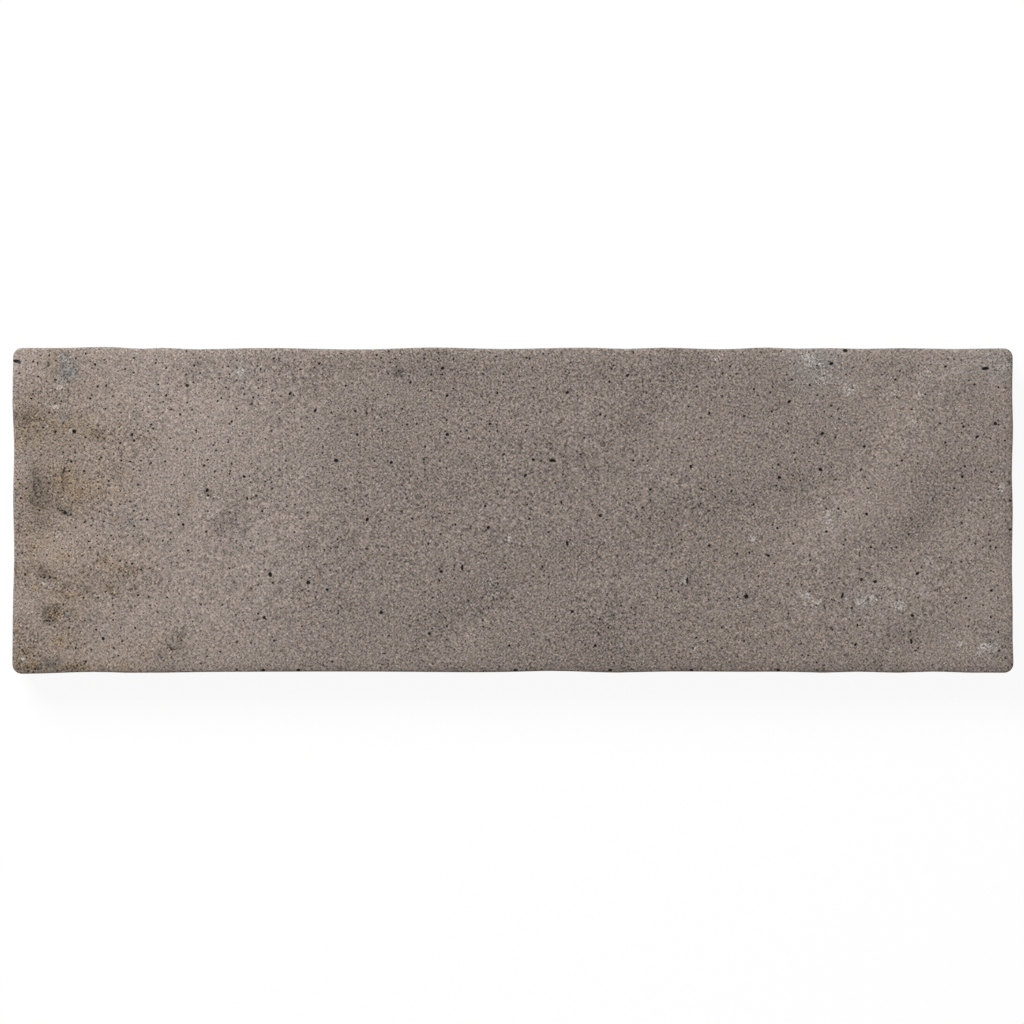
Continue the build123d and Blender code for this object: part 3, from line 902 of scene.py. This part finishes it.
    def lines(self, half: float) -> List[float]:
        """Places of the grid's lines, close together at both ends.

        Args:
            half: Half of the run.

        Returns:
            The places.
        """
        inner = half - self.rim_rows[-1]
        count = round(2 * inner / self.cell)
        middle = [-inner + 2 * inner * step / count for step in range(1, count)]
        far_rows = [half - row for row in reversed(self.rim_rows)]
        return [-half + row for row in self.rim_rows] + middle + far_rows

    def lay_face(self, mesh: bmesh.types.BMesh) -> None:
        """Makes the face and the rim's roll out of one grid.

        Args:
            mesh: The mesh that it is added to.
        """
        lines_x = self.lines(self.outline.half_length)
        lines_y = self.lines(self.outline.half_width)
        cells_x = len(lines_x) - 1
        cells_y = len(lines_y) - 1
        bmesh.ops.create_grid(mesh, x_segments=cells_x, y_segments=cells_y, size=1.0)
        for vertex in mesh.verts:
            x = lines_x[round((vertex.co.x + 1) / 2 * cells_x)]
            y = lines_y[round((vertex.co.y + 1) / 2 * cells_y)]
            x, y, distance = self.outline.rounded(x, y)
            z = self.height(x, y, max(0.0, distance))
            vertex.co = (*self.outline.waved(x, y), z)

    def drop_walls(self, mesh: bmesh.types.BMesh) -> Edges:
        """Draws the walls down from the rim, and turns the bedding bevel in under them.

        Args:
            mesh: The mesh with the face.

        Returns:
            The edges of the open back.
        """
        edges = [edge for edge in mesh.edges if edge.is_boundary]
        for row in range(1, self.wall_rows + 2):
            edges, vertices = draw_out(mesh, edges)
            for vertex in vertices:
                if row > self.wall_rows:
                    vertex.co -= self.outline.outward(vertex.co.x, vertex.co.y) * self.bedding_bevel
                    vertex.co.z = 0
                    continue
                left = self.wall_rows - row
                vertex.co.z = self.bedding_bevel + (vertex.co.z - self.bedding_bevel) * left / (left + 1)
        return edges

    def cut_keys(self, mesh: bmesh.types.BMesh, rim: Edges) -> None:
        """Closes the back with a land and ribs round sunk keys.

        Args:
            mesh: The mesh with the face and the walls.
            rim: The edges of the open back.
        """
        def share(half: float, count: int) -> float:
            """The run of one key where this many fit between the lands."""
            return (2 * (half - self.back_land) - (count - 1) * self.rib_width) / count

        length = share(self.outline.half_length, self.key_columns)
        width = share(self.outline.half_width, self.key_rows)
        mouths = list(rim)
        for column in range(self.key_columns):
            for row in range(self.key_rows):
                x = (column - (self.key_columns - 1) / 2) * (length + self.rib_width)
                y = (row - (self.key_rows - 1) / 2) * (width + self.rib_width)
                mouths += self.cut_key(mesh, Vector((x, y, 0)), length, width)
        bmesh.ops.triangle_fill(mesh, use_beauty=True, use_dissolve=False, edges=mouths, normal=(0, 0, -1))

    def cut_key(self, mesh: bmesh.types.BMesh, centre: Vector, length: float, width: float) -> Edges:
        """Makes one sunk key with leaning walls and a flat floor.

        Args:
            mesh: The mesh that it is added to.
            centre: The middle of its mouth.
            length: Its length.
            width: Its width, which is twice the radius of its round ends.

        Returns:
            The edges of its mouth.
        """
        segments = self.key_end_segments
        ring = bmesh.ops.create_circle(mesh, cap_ends=False, radius=width / 2, segments=segments)["verts"]
        half_turn = Matrix.Rotation(radians(180 / segments), 3, "Z")
        bmesh.ops.rotate(mesh, verts=ring, cent=(0, 0, 0), matrix=half_turn)
        straight = (length - width) / 2
        for vertex in ring:
            vertex.co.x += straight if vertex.co.x > 0 else -straight
        bmesh.ops.translate(mesh, verts=ring, vec=centre)
        mouth = list({edge for vertex in ring for edge in vertex.link_edges})
        floor_edges, vertices = draw_out(mesh, mouth)
        lean = self.key_depth * tan(radians(self.key_draft))
        for vertex in vertices:
            axis_x = centre.x + (straight if vertex.co.x > centre.x else -straight)
            inward = Vector((axis_x - vertex.co.x, centre.y - vertex.co.y, 0)).normalized()
            vertex.co += inward * lean
            vertex.co.z = self.key_depth
        bmesh.ops.contextual_create(mesh, geom=floor_edges)
        return mouth

    def upper(self, items: Sequence[Any], places: Sequence[Vector]) -> KDTree:
        """A search in plan over the upper half of a mesh.

        Args:
            items: The faces or vertices of the mesh.
            places: The middle of each.

        Returns:
            The tree, which finds their numbers.
        """
        tree = KDTree(len(items))
        for number, place in enumerate(places):
            if place.z > self.thickness / 2:
                tree.insert((place.x, place.y, 0), number)
        tree.balance()
        return tree

    def sink_pores(self, mesh: bmesh.types.BMesh) -> None:
        """Divides the face finely round each pore and sinks it.

        Args:
            mesh: The mesh with the face.
        """
        mesh.faces.ensure_lookup_table()
        tree = self.upper(mesh.faces, [face.calc_center_median() for face in mesh.faces])
        edges = set()
        for mark, reach in self.pores():
            for _, number, _ in tree.find_range((mark[0], mark[1], 0), reach + self.pore_margin):
                edges.update(mesh.faces[number].edges)
        bmesh.ops.subdivide_edges(mesh, edges=list(edges), cuts=self.pore_cuts, use_grid_fill=True)
        many_sided = [face for face in mesh.faces if len(face.verts) > 4]
        over_keys = [face for face in many_sided if face.calc_center_median().z > 2 * self.key_depth]
        bmesh.ops.triangulate(mesh, faces=over_keys, ngon_method="BEAUTY")
        mesh.verts.ensure_lookup_table()
        tree = self.upper(mesh.verts, [vertex.co for vertex in mesh.verts])
        for mark, reach in self.pores():
            for _, number, _ in tree.find_range((mark[0], mark[1], 0), reach * self.pore_search):
                vertex = mesh.verts[number]
                along, across = within(mark, vertex.co.x, vertex.co.y)
                share = 1 - (along ** 2 + across ** 2) / self.pore_bowl
                if share > 0:
                    vertex.co.z -= mark[4] * share * sqrt(share)

    def paint(self, mesh: bpy.types.Mesh) -> None:
        """Writes the tones with their painted light and shade, the stains, the pores with their painted
        shade, and the skin of the face as attributes.

        Args:
            mesh: The tile's mesh.
        """
        places = np.empty(len(mesh.vertices) * 3, np.float32)
        mesh.vertices.foreach_get("co", places)
        x, y, z = (places.reshape(-1, 3).astype(float) / MM).T
        mesh.vertices.foreach_get("normal", places)
        upright = places.reshape(-1, 3)[:, 2]
        skin = step_up(z, self.skin_from, self.skin_rise)
        pore = np.zeros_like(x)
        pore_depth = np.zeros_like(x)
        # Each pore and a halo round it get painted shade, darker for the deeper pores
        for (mark_x, mark_y, along, across, depth, *turned), _ in self.pores():
            halo = (mark_x, mark_y, along * self.pore_halo, across * self.pore_halo, 1.0, *turned)
            dark = spread([halo], x, y)
            pore_shade = min(1.0, self.pore_shade_least + self.pore_shade_rise * depth)
            pore_depth = np.where(dark > pore, pore_shade, pore_depth)
            pore = np.maximum(pore, dark)
        layers = {
            "skin": skin,
            # The face's own tone together with painted light and shade of its swells
            "tone_and_shade": spread(TONES_AND_SHADE, x, y) * self.tone_and_shade_level * skin,
            "warmth": spread(WARMTHS, x, y) * skin,
            "pinholes": (self.pinhole_base + spread(PINHOLES, x, y)) * skin,
            "pore": pore * step_up(z, self.pores_from, self.pores_rise),
            # How dark the painted shade in each pore is
            "pore_depth": pore_depth,
            "upward": step_up(upright, self.upward_from, self.upward_rise) * skin,
        }
        for stain, marks in STAINS.items():
            layers[stain.value] = np.clip(spread(marks, x, y), 0, self.thickest_stain) * skin
        for name, layer in layers.items():
            attribute = mesh.attributes.new(name, "FLOAT", "POINT")
            attribute.data.foreach_set("value", layer.astype(np.float32))

    def build(self) -> bpy.types.Object:
        """Builds the tile in metres, with its attributes painted.

        Returns:
            The object.
        """
        shell = bmesh.new()
        self.lay_face(shell)
        self.cut_keys(shell, self.drop_walls(shell))
        self.sink_pores(shell)
        bmesh.ops.recalc_face_normals(shell, faces=shell.faces)
        for vertex in shell.verts:
            vertex.co.z = min(vertex.co.z, cad_high.z / MM)
        for face in shell.faces:
            face.smooth = True
        for edge in shell.edges:
            edge.smooth = len(edge.link_faces) != 2 or edge.calc_face_angle(0) < radians(self.sharp_angle)
        loose = sum(1 for edge in shell.edges if len(edge.link_faces) != 2)
        triangles = sum(len(face.verts) - 2 for face in shell.faces)
        bmesh.ops.scale(shell, vec=(MM, MM, MM), verts=shell.verts)
        mesh = bpy.data.meshes.new(self.name)
        shell.to_mesh(mesh)
        shell.free()
        self.paint(mesh)
        log.info("%s: %d triangles, %d open edges", self.name, triangles, loose)
        return stand(self.name, mesh)


@dataclass
class Studio:
    """The pale floor, the soft light and the camera over the tile."""

    floor_half: float = 2.5
    floor_cells: int = 8
    floor_colour: Colour = (0.96, 0.96, 0.96, 1.0)
    floor_glow: float = 0.92
    floor_white: float = 1.0
    white: Colour = (1.0, 1.0, 1.0, 1.0)
    key_azimuth: float = 33.0
    key_elevation: float = 37.0
    key_distance: float = 1.3
    key_size: float = 0.7
    key_power: float = 22.0
    sky: float = 0.34
    lens: float = 120.0
    sensor: float = 36.0
    far_clip: float = 20.0
    frame_width: float = 204.74
    camera_x: float = -0.18
    camera_y: float = -0.36

    def lay_floor(self) -> None:
        """Makes the floor, which is white in the camera's eye but for the tile's soft shadow."""
        surface = bmesh.new()
        bmesh.ops.create_grid(
            surface, x_segments=self.floor_cells, y_segments=self.floor_cells, size=self.floor_half
        )
        mesh = bpy.data.meshes.new("floor")
        surface.to_mesh(mesh)
        surface.free()
        material = bpy.data.materials.new("floor_paper")
        graph = Graph(material)
        paper = graph.node("ShaderNodeBsdfDiffuse", None, {"Color": self.floor_colour})
        glow = graph.node("ShaderNodeEmission", None, {"Color": self.white, "Strength": self.floor_white})
        sockets = {0: graph.seen() * self.floor_glow, 1: paper.outputs[0], 2: glow.outputs[0]}
        mixed = graph.node("ShaderNodeMixShader", None, sockets)
        graph.node("ShaderNodeOutputMaterial", None, {"Surface": mixed.outputs[0]})
        mesh.materials.append(material)
        stand("floor", mesh)
        log.info("floor laid")

    def light(self) -> None:
        """Sets the key lamp and the even light of the world."""
        lamp = bpy.data.lights.new("key", "AREA")
        lamp.shape = "SQUARE"
        lamp.size = self.key_size
        lamp.energy = self.key_power
        key = stand("key", lamp)
        flat = cos(radians(self.key_elevation)) * self.key_distance
        key.location = (
            -flat * sin(radians(self.key_azimuth)),
            flat * cos(radians(self.key_azimuth)),
            sin(radians(self.key_elevation)) * self.key_distance,
        )
        key.rotation_euler = (-key.location).to_track_quat("-Z", "Y").to_euler()
        world = bpy.data.worlds.new("studio")
        bpy.context.scene.world = world
        graph = Graph(world)
        strength = graph.seen() * (1.0 - self.sky) + self.sky
        sky = graph.node("ShaderNodeBackground", None, {"Color": self.white, "Strength": strength})
        graph.node("ShaderNodeOutputWorld", None, {"Surface": sky.outputs[0]})
        log.info("lamps set")

    def aim(self, face_height: float) -> None:
        """Hangs the camera over the face.

        Args:
            face_height: The height of the face, in millimetres.
        """
        data = bpy.data.cameras.new("camera")
        data.lens = self.lens
        data.sensor_width = self.sensor
        data.clip_end = self.far_clip
        camera = stand("camera", data)
        distance = self.frame_width * self.lens / self.sensor
        camera.location = (self.camera_x * MM, self.camera_y * MM, (face_height + distance) * MM)
        bpy.context.scene.camera = camera
        log.info("camera %.0f mm over the face", distance)


def main() -> None:
    """Builds the tile and the studio."""
    logging.basicConfig(level=logging.INFO, format="%(message)s")
    bpy.context.scene.view_settings.view_transform = "Standard"
    outline = PlanOutline()
    outline.read(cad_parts["tile"])
    tile = PressedTile(outline)
    piece = tile.build()
    FiredClay().dress(piece)
    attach(piece, "root")
    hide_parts("tile")
    studio = Studio()
    studio.lay_floor()
    studio.light()
    studio.aim(tile.thickness)


if __name__ == "__main__":
    main()
